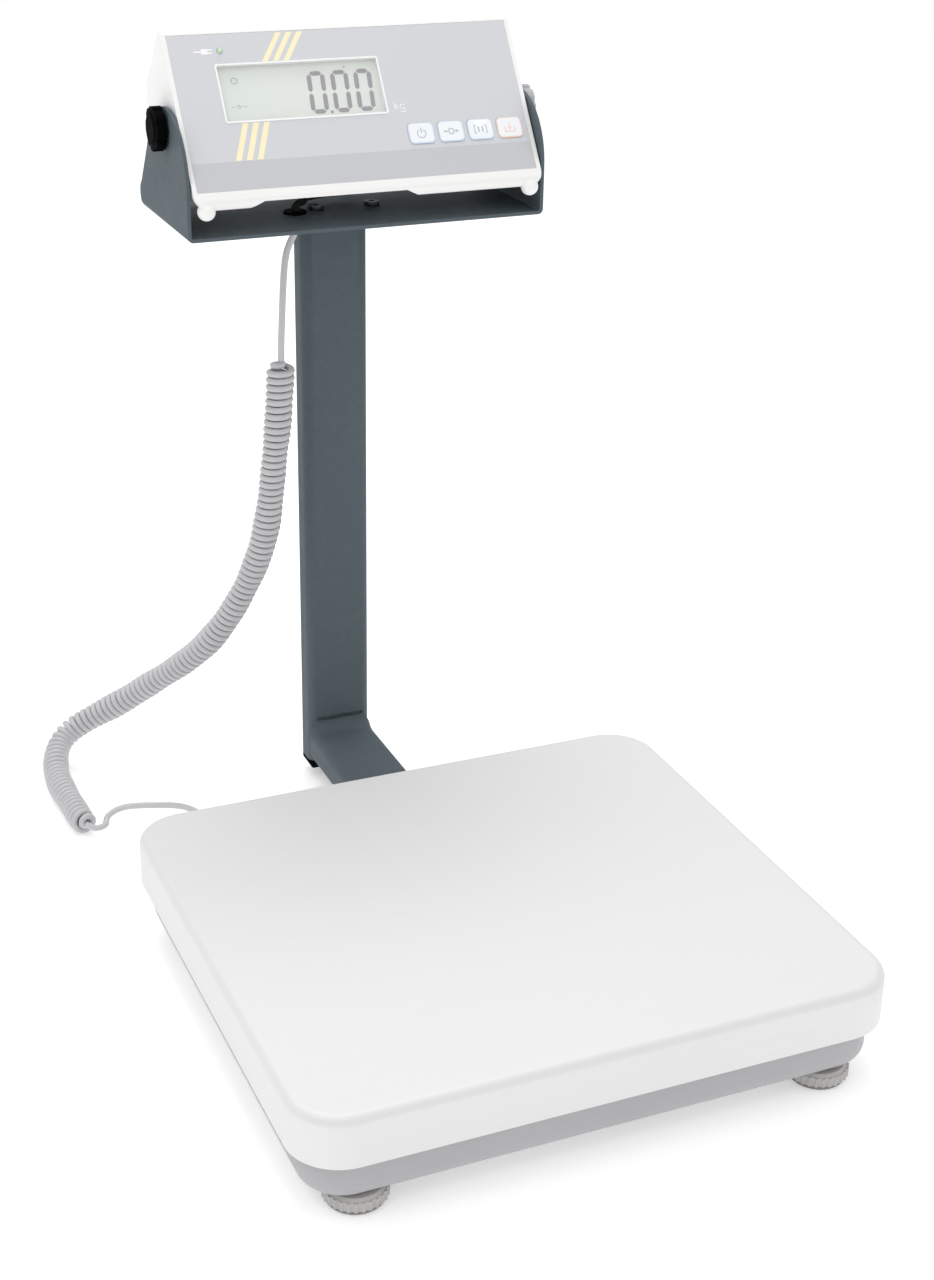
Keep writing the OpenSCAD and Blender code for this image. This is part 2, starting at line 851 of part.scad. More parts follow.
// The spring cord. Its coils are drawn as a plain round bar of their outer size.
module coil_cord() {
    upper = [[grommet_x, grommet_y, tray_top_z + 1], [grommet_x, grommet_y, tray_z - 9], [-26.8, 250, 348],
        [-29.8, 250, 307]];
    coil = smooth_line(coil_line, coil_steps);
    lower = smooth_line([[-160, 239, 9], [-153, 239, 9.8], [-149, 247, 12], [-138, 250, 14], [-121, 242, 16],
        [-106, 226, 20], [cord_gland_x, 196, 25], [cord_gland_x, 165, cord_gland_z],
        [cord_gland_x, 158, cord_gland_z], [cord_gland_x, base_wall_y + 1, cord_gland_z]], 2);
    color(cord_grey)
        swept_bar(concat(upper, coil, lower),
            concat(constant(lead_r, len(upper)), constant(coil_r, len(coil)), constant(lead_r, len(lower))));
}

// The lead runs over the tray, clear of the screw heads, from the grommet up to the display's gland.
module display_lead() {
    low_z = tray_top_z + 5;
    line = smooth_line([[grommet_x, grommet_y, tray_top_z + 1.6], [grommet_x, grommet_y, tray_top_z + 3.2],
        [-18.5, 249.5, low_z], [-14, 253, low_z + 0.4], [-10, 262, low_z], [4, 268, low_z], [17, 268, low_z],
        [display_gland_x, 265.5, low_z + 1.6], [display_gland_x, display_gland_y, display_gland_z - 3.2],
        [display_gland_x, display_gland_y, display_gland_z - 1.8],
        [display_gland_x, display_gland_y, display_gland_z - 0.4]], 2);
    color(black)
        swept_bar(line, constant(lead_r, len(line)));
}

module display_gland() {
    color(black)
        translate([display_gland_x, display_gland_y, 0])
            difference() {
                union() {
                    translate([0, 0, display_gland_z])
                        cylinder(r = display_gland_r + 1, h = notch_top_z - display_gland_z);
                    translate([0, 0, notch_top_z - cut])
                        cylinder(r = display_gland_r - running_gap, h = shell_wall + 2 * cut);
                }
                translate([0, 0, display_gland_z - cut])
                    cylinder(r = lead_r - 0.5, h = notch_top_z + shell_wall - display_gland_z + 3 * cut);
            }
}

// ---------------------------------------------------------------- display

// The housing's side view in (y, z), anticlockwise from the lower front corner, with its bottom at z.
function housing_side(z) =
    let (slope = tan(face_lean))
        [[face_y + (z - face_z) * slope, z],
         [housing_rear_y, z],
         [housing_rear_y, housing_shoulder_z],
         [face_y + (housing_apex_z - face_z) * slope, housing_apex_z]];

// Both shells in one, before they are split: walls, screw posts, pivot bosses and two moulded feet.
// the housing seen from the front, with its lower corners rounded
module housing_outline() {
    tall = housing_apex_z - housing_bottom_z;
    along_y(face_y - housing_w / 4, housing_w)
        translate([stand_x, housing_apex_z])
            mirror([0, 1])
                section_half(housing_w, tall, housing_corner_r);
}

module housing_body() {
    inner_w = housing_w - 2 * shell_wall;
    left_x = stand_x - housing_w / 2;
    difference() {
        union() {
            difference() {
                intersection() {
                    along_x(left_x, housing_w)
                        rounded_polygon(housing_side(housing_bottom_z), housing_round);
                    housing_outline();
                }
                along_x(left_x + shell_wall, inner_w)
                    rounded_polygon(inset(housing_side(notch_top_z), shell_wall), housing_round - shell_wall);
            }
            intersection() {
                housing_fittings();
                along_x(left_x, housing_w)
                    rounded_polygon(inset(housing_side(housing_bottom_z), 1), housing_round - 1);
            }
            for (sx = [-1, 1])
                translate([stand_x + sx * housing_foot_x, housing_foot_y, housing_bottom_z])
                    sphere(housing_foot_r);
        }
        housing_notch();
        for (sx = [-1, 1], z = post_z) {
            rod_y(stand_x + sx * post_x, housing_rear_y - 3, z, 3.1, 4);
            rod_y(stand_x + sx * post_x, housing_rear_y - 34, z, 1.5, 34);
        }
        for (s = [0, 1])
            translate([stand_x, 0, 0])
                mirror([s, 0, 0])
                    rod_x(housing_w / 2 - insert_l, pivot_y, pivot_z, insert_r, insert_l + cut);
    }
}

// The shallow recess under the housing, with sloping ends, that the lead comes up through.
module housing_notch() {
    drop = notch_top_z - housing_bottom_z + cut;
    along_y(face_y - housing_w / 4, housing_w)
        translate([stand_x, notch_top_z])
            polygon([[notch_x[0] - notch_bevel * drop, -drop], [notch_x[1] + notch_bevel * drop, -drop],
                [notch_x[1], 0], [notch_x[0], 0]]);
}

// Screw posts along Y and pivot bosses along X, inside the housing.
module housing_fittings() {
    for (sx = [-1, 1], z = post_z)
        rod_y(stand_x + sx * post_x, housing_rear_y - 40, z, 4, 40);
    for (s = [0, 1])
        translate([stand_x, 0, 0])
            mirror([s, 0, 0])
                rod_x(housing_w / 2 - insert_l - 2, pivot_y, pivot_z, boss_r, insert_l + 2);
}

// The space in front of the split plane.
module front_part() {
    on_face()
        translate([-150, -60, -split_depth])
            cube([300, 220, split_depth + 20]);
}

module housing_front() {
    color(shell_white)
        difference() {
            intersection() {
                housing_body();
                front_part();
            }
            on_face()
                translate([-plate_w / 2, 0, -plate_t])
                    cube([plate_w, plate_h, 10]);
            face_slab(window_u, window_v, -10, window_w, window_h, 20, 1);
            for (u = key_u)
                face_slab(u, key_v, -10, key_w + 0.4, key_h + 0.4, 20, 3);
            on_face()
                translate([led_u, led_v, -10])
                    cylinder(r = led_r + 0.2, h = 20);
        }
}

module housing_rear() {
    color(shell_white)
        difference() {
            housing_body();
            front_part();
            translate([stand_x - cover_w / 2, housing_rear_y - 1, cover_z - cover_h / 2])
                cube([cover_w, 2, cover_h]);
            translate([stand_x - cover_w / 2 + 2, housing_rear_y - 5, cover_z - cover_h / 2 + 2])
                cube([cover_w - 4, 6, cover_h - 4]);
            rod_y(stand_x + socket_x, housing_rear_y - 5, socket_z, 4.5, 6);
            translate([display_gland_x, display_gland_y, notch_top_z - cut])
                cylinder(r = display_gland_r, h = shell_wall + 2 * cut);
        }
}

module housing_screws() {
    color(zinc)
        for (sx = [-1, 1], z = post_z)
            difference() {
                union() {
                    rod_y(stand_x + sx * post_x, housing_rear_y - 3, z, 2.9, 2);
                    rod_y(stand_x + sx * post_x, housing_rear_y - 32, z, 1.48, 29.5);
                }
                rod_y(stand_x + sx * post_x, housing_rear_y - 2, z, 1.2, 2);
            }
}

module face_plate() {
    color([0.84, 0.85, 0.87])
        difference() {
            on_face()
                translate([-plate_w / 2 + 0.1, 0.1, -plate_t])
                    cube([plate_w - 0.2, plate_h - 0.2, plate_t - 0.1]);
            face_slab(window_u, window_v, -5, window_w, window_h, 10, 1);
            for (u = key_u)
                face_slab(u, key_v, -5, key_w + 0.4, key_h + 0.4, 10, 3);
            on_face()
                translate([led_u, led_v, -5])
                    cylinder(r = led_r + 0.2, h = 10);
        }
}

module lcd_frame() {
    color("white")
        difference() {
            face_slab(window_u, window_v, -0.1, window_w + 1.6, window_h + 1.6, 0.35, 1.4);
            face_slab(window_u, window_v, -1, window_w - 0.4, window_h - 0.4, 2, 0.8);
        }
}

module lcd_window() {
    color([0.9, 0.95, 0.9, 0.35])
        face_slab(window_u, window_v, -2.4, window_w - 0.1, window_h - 0.1, 2.25, 0.9);
}

module lcd_module() {
    color([0.8, 0.84, 0.78]) {
        face_slab(window_u, window_v, -5.6, window_w + 5, window_h + 4, 2.9, 0.5);
        face_slab(window_u, window_v, -board_depth, window_w, window_h, board_depth - 5.5, 0.5);
    }
}

module status_led() {
    color([0.35, 0.75, 0.35])
        on_face()
            translate([led_u, led_v, -board_depth]) {
                cylinder(r = led_r, h = board_depth - 0.2);
                translate([0, 0, board_depth - 0.2])
                    sphere(led_r);
            }
}

module main_board() {
    color([0.1, 0.4, 0.2])
        difference() {
            face_slab(0, 46, -board_depth - board_t, 164, 76, board_t, 2);
            for (sx = [-1, 1], v = [14, 78])
                on_face()
                    translate([sx * 76, v, -20])
                        cylinder(r = 1.6, h = 20);
        }
}

module key_switches() {
    color(black)
        for (u = key_u) {
            face_slab(u, key_v, -board_depth, 6, 6, 5, 0.4);
            on_face()
                translate([u, key_v, -board_depth + 4.9])
                    cylinder(r = 1.6, h = 1);
        }
}

// A key: a shallow cap in the face, a retaining flange and a stem over its switch.
module key_cap(index, tint) {
    color(tint) {
        face_slab(key_u[index], key_v, -shell_wall - 0.2, key_w, key_h, shell_wall + 0.4, 2.8);
        face_slab(key_u[index], key_v, 0.1, key_w - 1.2, key_h - 1.2, 0.4, 2.2);
        face_slab(key_u[index], key_v, -shell_wall - 1, key_w + 1.8, key_h + 1.8, 0.9, 2.8);
        on_face()
            translate([key_u[index], key_v, -5.4])
                cylinder(r = 2, h = 2.5);
    }
}

module battery_pack() {
    color([0.2, 0.25, 0.5])
        translate([stand_x - 30, 258, 399])
            cube([60, 26, 30]);
}

module battery_cover() {
    color(shell_white) {
        translate([stand_x - cover_w / 2 + 0.2, housing_rear_y - 0.95, cover_z - cover_h / 2 + 0.2])
            difference() {
                cube([cover_w - 0.4, 0.95, cover_h - 0.4]);
                for (i = [0 : 3])
                    translate([cover_w / 2 - 9, 0.45, cover_h - 6 - 2 * i])
                        cube([18, 1, 1]);
            }
        translate([stand_x - cover_w / 2 + 2.2, housing_rear_y - 2.4, cover_z - cover_h / 2 + 2.2])
            cube([cover_w - 4.4, 1.5, cover_h - 4.4]);
    }
}

module power_socket() {
    color(black)
        difference() {
            union() {
                rod_y(stand_x + socket_x, housing_rear_y - 11, socket_z, 4.45, 11);
                rod_y(stand_x + socket_x, housing_rear_y, socket_z, 5.5, 0.8);
            }
            rod_y(stand_x + socket_x, housing_rear_y - 9.2, socket_z, socket_bore_r, 10.2);
        }
}

module pivot_inserts() {
    color(brass)
        for (s = [0, 1])
            translate([stand_x, 0, 0])
                mirror([s, 0, 0])
                    difference() {
                        rod_x(housing_w / 2 - insert_l, pivot_y, pivot_z, insert_r, insert_l);
                        rod_x(housing_w / 2 - insert_l + 1, pivot_y, pivot_z, knob_stud_r + running_gap, insert_l);
                    }
}

module friction_washers() {
    color(black)
        for (s = [0, 1])
            translate([stand_x, 0, 0])
                mirror([s, 0, 0])
                    difference() {
                        rod_x(housing_w / 2, pivot_y, pivot_z, 9, washer_t);
                        rod_x(housing_w / 2 - cut, pivot_y, pivot_z, knob_stud_r + 0.3, washer_t + 2 * cut);
                    }
}

// A lobed hand knob and its stud, drawn for the right-hand side.
module knob() {
    face_x = bracket_w / 2 + 0.2;
    grip_l = 5.6;
    dome_h = 1.2;
    lobes = 8;
    lobe_gap_r = 2.4;
    translate([face_x + 1, pivot_y, pivot_z])
        rotate([0, 90, 0]) {
            linear_extrude(grip_l)
                difference() {
                    circle(knob_d / 2);
                    for (i = [0 : lobes - 1])
                        rotate(i * 360 / lobes + 22.5)
                            translate([knob_d / 2 + 1.2, 0])
                                circle(lobe_gap_r);
                }
            translate([0, 0, grip_l - eps])
                cylinder(r1 = knob_d / 2 - 2.4, r2 = knob_d / 2 - 4.4, h = dome_h);
        }
    rod_x(face_x, pivot_y, pivot_z, 7, 1.2);
    rod_x(housing_w / 2 - insert_l + 2, pivot_y, pivot_z, knob_stud_r, face_x - housing_w / 2 + insert_l - 1);
}

module knob_left() {
    color(black)
        translate([stand_x, 0, 0])
            mirror([1, 0, 0])
                knob();
}

module knob_right() {
    color([0.7, 0.7, 0.72])
        translate([stand_x, 0, 0])
            knob();
}

weighing_pan();
pan_pads();
load_spider();
overload_stops();
upper_spacer();
upper_cell_bolts();
load_cell();
lower_spacer();
lower_cell_bolts();
load_cell_lead();
base_frame();
base_cable_gland();
foot_bushings();
foot_disc(-1, -1);  // foot_disc_fl
foot_disc(1, -1);  // foot_disc_fr
foot_disc(-1, 1);  // foot_disc_rl
foot_disc(1, 1);  // foot_disc_rr
foot_sole(-1, -1);  // foot_sole_fl
foot_sole(1, -1);  // foot_sole_fr
foot_sole(-1, 1);  // foot_sole_rl
foot_sole(1, 1);  // foot_sole_rr
stand_arm();
arm_nut_plate();
arm_bolts();
column();
column_end_plug();
weld_bead();
column_top_plate();
bracket();
bracket_screws();
cable_grommet();
coil_cord();
display_lead();
display_gland();
housing_front();
housing_rear();
housing_screws();
face_plate();
lcd_frame();
lcd_window();
lcd_module();
status_led();
main_board();
key_switches();
key_cap(0, [0.9, 0.94, 0.97]);  // key_on_off
key_cap(1, [0.9, 0.94, 0.97]);  // key_zero
key_cap(2, [0.9, 0.94, 0.97]);  // key_hold
key_cap(3, [0.97, 0.92, 0.9]);  // key_tare
battery_pack();
battery_cover();
power_socket();
pivot_inserts();
friction_washers();
knob_left();
knob_right();
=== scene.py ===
import json
import math
import random

import bmesh
import bpy
from mathutils import Matrix, Vector


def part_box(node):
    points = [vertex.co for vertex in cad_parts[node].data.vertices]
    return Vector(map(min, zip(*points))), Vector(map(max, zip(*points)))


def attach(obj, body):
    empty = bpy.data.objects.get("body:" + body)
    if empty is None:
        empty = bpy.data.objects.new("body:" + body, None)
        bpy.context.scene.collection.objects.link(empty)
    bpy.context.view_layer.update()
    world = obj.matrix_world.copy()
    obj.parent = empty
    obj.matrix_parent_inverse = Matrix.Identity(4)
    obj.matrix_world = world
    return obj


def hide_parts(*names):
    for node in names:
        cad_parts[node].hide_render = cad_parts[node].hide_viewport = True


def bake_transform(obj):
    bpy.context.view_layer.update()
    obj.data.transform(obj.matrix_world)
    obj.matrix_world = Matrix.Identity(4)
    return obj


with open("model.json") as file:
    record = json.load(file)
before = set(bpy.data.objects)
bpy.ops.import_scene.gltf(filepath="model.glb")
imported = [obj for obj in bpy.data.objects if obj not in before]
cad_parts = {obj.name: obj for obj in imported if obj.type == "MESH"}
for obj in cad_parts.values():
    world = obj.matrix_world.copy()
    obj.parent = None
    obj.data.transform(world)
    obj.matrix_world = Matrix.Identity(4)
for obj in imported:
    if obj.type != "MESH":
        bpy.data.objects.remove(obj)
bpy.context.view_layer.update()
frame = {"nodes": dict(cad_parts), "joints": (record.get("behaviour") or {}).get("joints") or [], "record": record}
nodes = frame["nodes"]
MM = 0.001
random.seed(7)


# ------------------------------------------------------------------ node materials

class Shader:
    """A small builder for a Principled material made of procedural nodes."""

    def __init__(self, name, color, roughness=0.5, metallic=0.0, coat=0.0):
        self.material = bpy.data.materials.new(name)
        self.material.use_nodes = True
        self.tree = self.material.node_tree
        self.shade = self.tree.nodes["Principled BSDF"]
        self.set("Base Color", (*color, 1.0))
        self.set("Roughness", roughness)
        self.set("Metallic", metallic)
        self.set("Coat Weight", coat)
        self.color = color
        self.roughness = roughness
        self.place = self.add("ShaderNodeTexCoord").outputs["Object"]
        self.height = None

    def add(self, kind, **values):
        node = self.tree.nodes.new(kind)
        for key, value in values.items():
            setattr(node, key, value)
        return node

    def link(self, source, target):
        self.tree.links.new(source, target)

    def set(self, name, value):
        self.shade.inputs[name].default_value = value

    def stretched(self, scale):
        mapping = self.add("ShaderNodeMapping")
        mapping.inputs["Scale"].default_value = scale
        self.link(self.place, mapping.inputs["Vector"])
        return mapping.outputs["Vector"]

    def noise(self, scale, detail=3.0, stretch=(1, 1, 1), roughness=0.55):
        node = self.add("ShaderNodeTexNoise")
        node.inputs["Scale"].default_value = scale
        node.inputs["Detail"].default_value = detail
        node.inputs["Roughness"].default_value = roughness
        self.link(self.stretched(stretch), node.inputs["Vector"])
        return node.outputs["Fac"]

    def remap(self, value, low, high, out_low=0.0, out_high=1.0):
        node = self.add("ShaderNodeMapRange")
        limits = {"From Min": low, "From Max": high, "To Min": out_low, "To Max": out_high}
        for key, number in limits.items():
            node.inputs[key].default_value = number
        self.link(value, node.inputs["Value"])
        return node.outputs["Result"]

    def math(self, operation, a, b):
        node = self.add("ShaderNodeMath", operation=operation)
        for socket, value in zip(node.inputs, (a, b)):
            if isinstance(value, (int, float)):
                socket.default_value = value
            else:
                self.link(value, socket)
        return node.outputs[0]

    def tint(self, mask, color):
        """Mixes color over what the base colour holds so far, where mask is 1."""
        mix = self.add("ShaderNodeMix", data_type="RGBA")
        base = self.shade.inputs["Base Color"]
        if base.links:
            self.link(base.links[0].from_socket, mix.inputs["A"])
        else:
            mix.inputs["A"].default_value = (*self.color, 1.0)
        mix.inputs["B"].default_value = (*color, 1.0)
        self.link(mask, mix.inputs["Factor"])
        self.link(mix.outputs["Result"], base)
        return self

    def vary(self, scale, amount, stretch=(1, 1, 1), dark=0.8):
        """Soft clouds of a slightly darker shade of the base colour."""
        mask = self.remap(self.noise(scale, 4.0, stretch), 0.35, 0.75, 0.0, amount)
        return self.tint(mask, tuple(c * dark for c in self.color))

    def rough(self, scale, spread, stretch=(1, 1, 1)):
        clouds = self.noise(scale, 4.0, stretch)
        value = self.remap(clouds, 0.3, 0.7, self.roughness - spread, self.roughness + spread)
        self.link(value, self.shade.inputs["Roughness"])
        return self

    def bump(self, scale, depth, detail=2.0, stretch=(1, 1, 1), roughness=0.5):
        """Relief of the given depth in metres."""
        node = self.add("ShaderNodeBump")
        node.inputs["Distance"].default_value = depth
        node.inputs["Strength"].default_value = 1.0
        self.link(self.noise(scale, detail, stretch, roughness), node.inputs["Height"])
        if self.height is not None:
            self.link(self.height, node.inputs["Normal"])
        self.height = node.outputs["Normal"]
        self.link(self.height, self.shade.inputs["Normal"])
        return self

    def edge_wear(self, color, strength=0.6, low=0.53, high=0.60):
        """Lightens convex edges, broken up by noise."""
        edge = self.remap(self.add("ShaderNodeNewGeometry").outputs["Pointiness"], low, high)
        spots = self.remap(self.noise(260.0, 4.0), 0.42, 0.62)
        return self.tint(self.math("MULTIPLY", self.math("MULTIPLY", edge, spots), strength), color)

    def darken_near_floor(self, top, color, strength=0.5):
        """Darkens what lies near the floor."""
        split = self.add("ShaderNodeSeparateXYZ")
        self.link(self.place, split.inputs["Vector"])
        mask = self.remap(split.outputs["Z"], 0.0, top, strength, 0.0)
        spots = self.remap(self.noise(90.0, 5.0), 0.3, 0.7, 0.4, 1.0)
        return self.tint(self.math("MULTIPLY", mask, spots), color)


def satin_steel():
    s = Shader("satin_stainless", (0.775, 0.775, 0.77), roughness=0.6, metallic=0.2)
    s.vary(5.0, 0.3, dark=0.97)
    s.vary(60.0, 0.25, stretch=(0.05, 12.0, 3.0), dark=0.95)
    s.rough(55.0, 0.05, stretch=(0.06, 14.0, 3.0))
    s.bump(900.0, 0.000006, 2.0, stretch=(0.03, 1.0, 1.0))
    return s.material


def powder_coat():
    s = Shader("powder_coat", (0.093, 0.118, 0.134), roughness=0.6)
    s.set("Specular IOR Level", 0.15)
    s.vary(9.0, 0.25, dark=0.92)
    s.rough(120.0, 0.05)
    s.edge_wear((0.15, 0.18, 0.20), 0.4)
    s.bump(1500.0, 0.000025, 1.0)
    s.bump(420.0, 0.00001, 1.0)
    return s.material


def base_coat():
    s = Shader("base_coat", (0.45, 0.45, 0.465), roughness=0.55)
    s.vary(14.0, 0.4, dark=0.88)
    s.rough(160.0, 0.06)
    s.edge_wear((0.62, 0.62, 0.63), 0.5)
    s.darken_near_floor(0.02, (0.3, 0.295, 0.29), 0.35)
    s.bump(1800.0, 0.00005, 1.0)
    return s.material


def moulded(name, color, roughness=0.45, grain=1600.0, depth=0.00003, floor_darkening=None, shine=0.5):
    s = Shader(name, color, roughness=roughness)
    s.set("Specular IOR Level", shine)
    s.vary(18.0, 0.35, dark=0.93)
    s.rough(140.0, 0.05)
    s.bump(grain, depth, 2.0)
    # darker towards the floor, in patches
    if floor_darkening:
        s.darken_near_floor(*floor_darkening)
    return s.material


def rubber(name, color):
    s = Shader(name, color, roughness=0.72)
    s.vary(40.0, 0.5, dark=0.75)
    s.rough(200.0, 0.08)
    s.bump(1200.0, 0.00006, 3.0)
    s.darken_near_floor(0.004, tuple(0.6 * c for c in color), 0.5)
    return s.material


def plated(name, color, roughness=0.3):
    s = Shader(name, color, roughness=roughness, metallic=1.0)
    s.vary(120.0, 0.5, dark=0.8)
    s.rough(300.0, 0.1)
    s.bump(700.0, 0.00002, 3.0)
    return s.material


def cord_sheath():
    s = Shader("cord_sheath", (0.55, 0.55, 0.565), roughness=0.42)
    s.vary(60.0, 0.4, dark=0.88)
    s.rough(220.0, 0.06)
    s.bump(900.0, 0.00002, 3.0)
    s.darken_near_floor(0.012, (0.3, 0.3, 0.31), 0.4)
    return s.material


def film(name, color, roughness=0.42):
    s = Shader(name, color, roughness=roughness, coat=0.05)
    s.vary(30.0, 0.15, dark=0.96)
    s.rough(240.0, 0.04)
    s.bump(2600.0, 0.000012, 2.0)
    return s.material


def clear_window():
    s = Shader("clear_window", (0.97, 0.98, 0.97), roughness=0.06)
    s.set("Alpha", 0.10)
    s.rough(30.0, 0.03)
    s.bump(60.0, 0.00001, 2.0)
    s.set("IOR", 1.45)
    return s.material


def lcd_glass():
    s = Shader("lcd_glass", (0.75, 0.79, 0.75), roughness=0.2)
    split = s.add("ShaderNodeSeparateXYZ")
    s.link(s.place, split.inputs["Vector"])
    lo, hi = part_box("lcd_module")
    s.tint(s.remap(split.outputs["X"], lo.x, lo.x + 0.35 * (hi.x - lo.x), 0.45, 0.0), (0.68, 0.76, 0.68))
    # painted shadow: a darker band along the top of the glass, under the frame
    s.tint(s.remap(split.outputs["Z"], hi.z - 0.012, hi.z, 0.0, 0.3), (0.6, 0.65, 0.6))
    s.vary(25.0, 0.2, dark=0.95)
    s.rough(80.0, 0.05)
    s.bump(3000.0, 0.000004, 1.0)
    return s.material


def lamp_green():
    s = Shader("lamp_green", (0.55, 0.76, 0.53), roughness=0.25)
    s.vary(400.0, 0.3, dark=0.85)
    s.bump(800.0, 0.00002, 1.0)
    return s.material


FINISH = {
    "pan_steel": satin_steel(),
    "pad_rubber": rubber("pad_rubber", (0.03, 0.03, 0.03)),
    "zinc_steel": plated("zinc_plate", (0.62, 0.62, 0.60)),
    "cell_alloy": plated("cell_alloy", (0.78, 0.79, 0.80), 0.38),
    "base_casting": base_coat(),
    "stand_coat": powder_coat(),
    "black_plastic": moulded("black_plastic", (0.002, 0.002, 0.002), 0.75, shine=0.03),
    "grey_knob": moulded("grey_knob", (0.46, 0.46, 0.49), 0.5, depth=0.00005),
    "brass_insert": plated("brass_insert", (0.70, 0.52, 0.22), 0.28),
    "foot_plastic": moulded("foot_plastic", (0.57, 0.555, 0.545), 0.55,
                            floor_darkening=(0.012, (0.2, 0.19, 0.18), 0.5)),
    "sole_rubber": rubber("sole_rubber", (0.26, 0.255, 0.25)),
    "cord_sheath": cord_sheath(),
    "black_sheath": rubber("black_sheath", (0.010, 0.010, 0.010)),
    "housing_white": moulded("housing_white", (0.90, 0.90, 0.89), 0.42, 1400.0, 0.00002),
    "plate_film": film("plate_film", (0.64, 0.65, 0.68)),
    "frame_white": film("frame_white", (0.93, 0.93, 0.93), 0.35),
    "window_clear": clear_window(),
    "lcd_green": lcd_glass(),
    "led_green": lamp_green(),
    "board_green": moulded("board_green", (0.03, 0.16, 0.07), 0.35),
    "key_white": film("key_white", (0.88, 0.91, 0.93), 0.38),
    "battery_wrap": moulded("battery_wrap", (0.04, 0.07, 0.2), 0.3),
}
# parts whose finish differs from the rest of their slot: the bracket screws' zinc is painted dark, as painted
# shade of the tray they sit in
PAINTED_SHADE_FINISH = {"bracket_screws": plated("zinc_painted_shade", (0.10, 0.105, 0.11), 0.42)}
INK = {
    "band": film("ink_band", (0.56, 0.565, 0.585)),
    "yellow": film("ink_yellow", (0.96, 0.87, 0.58), 0.4),
    "white": film("ink_white", (0.92, 0.92, 0.92), 0.4),
    "blue": film("ink_blue", (0.62, 0.74, 0.90), 0.4),
    "orange": film("ink_orange", (0.93, 0.62, 0.52), 0.4),
    "grey": film("ink_grey", (0.48, 0.51, 0.58), 0.4),
    "segment": film("ink_segment", (0.25, 0.225, 0.26), 0.5),
    "faint_segment": film("ink_faint_segment", (0.38, 0.40, 0.39), 0.5),
}


def finish_cad_nodes():
    """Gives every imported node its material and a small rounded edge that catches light."""
    edge = {"housing_front": 1.2, "housing_rear": 1.2, "bracket": 0.5, "column": 0.4, "stand_arm": 0.4,
            "base_frame": 0.5, "knob_left": 0.6, "knob_right": 0.6, "weighing_pan": 0.3}
    flat = ("face_plate", "lcd_frame", "lcd_window", "lcd_module")
    for part in frame["record"]["subparts"]:
        node = nodes[part["node"]]
        node.data.materials.clear()
        node.data.materials.append(PAINTED_SHADE_FINISH.get(part["node"], FINISH[part["material_slot"]]))
        weld = node.modifiers.new("weld", "WELD")
        weld.merge_threshold = 1e-6
        if part["node"] in flat:
            split = node.modifiers.new("split", "EDGE_SPLIT")
            split.split_angle = math.radians(30)
            continue
        bevel = node.modifiers.new("edges", "BEVEL")
        bevel.width = edge.get(part["node"], 0.25) * MM
        bevel.segments = 2
        bevel.limit_method = "ANGLE"
        bevel.angle_limit = math.radians(40)
        bevel.harden_normals = False
        bevel.use_clamp_overlap = True


# ------------------------------------------------------------------ mesh helpers

def piece(name, points, faces, material, slot, smooth=False):
    mesh = bpy.data.meshes.new(name)
    mesh.from_pydata([tuple(p) for p in points], [], faces)
    builder = bmesh.new()
    builder.from_mesh(mesh)
    bmesh.ops.recalc_face_normals(builder, faces=builder.faces)
    builder.to_mesh(mesh)
    builder.free()
    mesh.materials.append(material)
    if smooth:
        for polygon in mesh.polygons:
            polygon.use_smooth = True
    thing = bpy.data.objects.new(name, mesh)
    bpy.context.scene.collection.objects.link(thing)
    return thing


def merge(shapes):
    """Joins (points, faces) shapes into one."""
    points, faces = [], []
    for shape_points, shape_faces in shapes:
        start = len(points)
        points.extend(shape_points)
        faces.extend([tuple(start + i for i in face) for face in shape_faces])
    return points, faces


def swept_tube(line, radii, sides=12):
    """A closed tube along a line of Vectors, with a radius at each, and a frame carried along it."""
    points, faces = [], []
    count = len(line)
    across = None
    for i, centre in enumerate(line):
        along = (line[min(i + 1, count - 1)] - line[max(i - 1, 0)]).normalized()
        if across is None:
            across = along.orthogonal().normalized()
        across = (across - along * across.dot(along)).normalized()
        over = along.cross(across)
        for k in range(sides):
            turn = 2 * math.pi * k / sides
            points.append(centre + radii[i] * (math.cos(turn) * across + math.sin(turn) * over))
    for i in range(count - 1):
        for k in range(sides):
            a, b = i * sides + k, i * sides + (k + 1) % sides
            faces.append((a, b, b + sides, a + sides))
    faces.append(tuple(range(sides)))
    faces.append(tuple(reversed(range((count - 1) * sides, count * sides))))
    return points, faces


def smooth_line(points, steps):
    """Catmull-Rom curve through the points."""
    line = []
    last = len(points) - 1
    for i in range(last):
        a, b = points[max(i - 1, 0)], points[i]
        c, d = points[i + 1], points[min(i + 2, last)]
        for s in range(steps):
            t = s / steps
            line.append(0.5 * (2 * b + (c - a) * t + (2 * a - 5 * b + 4 * c - d) * t ** 2
                               + (3 * b - a - 3 * c + d) * t ** 3))
    line.append(points[last])
    return line


# ------------------------------------------------------------------ the face's own frame

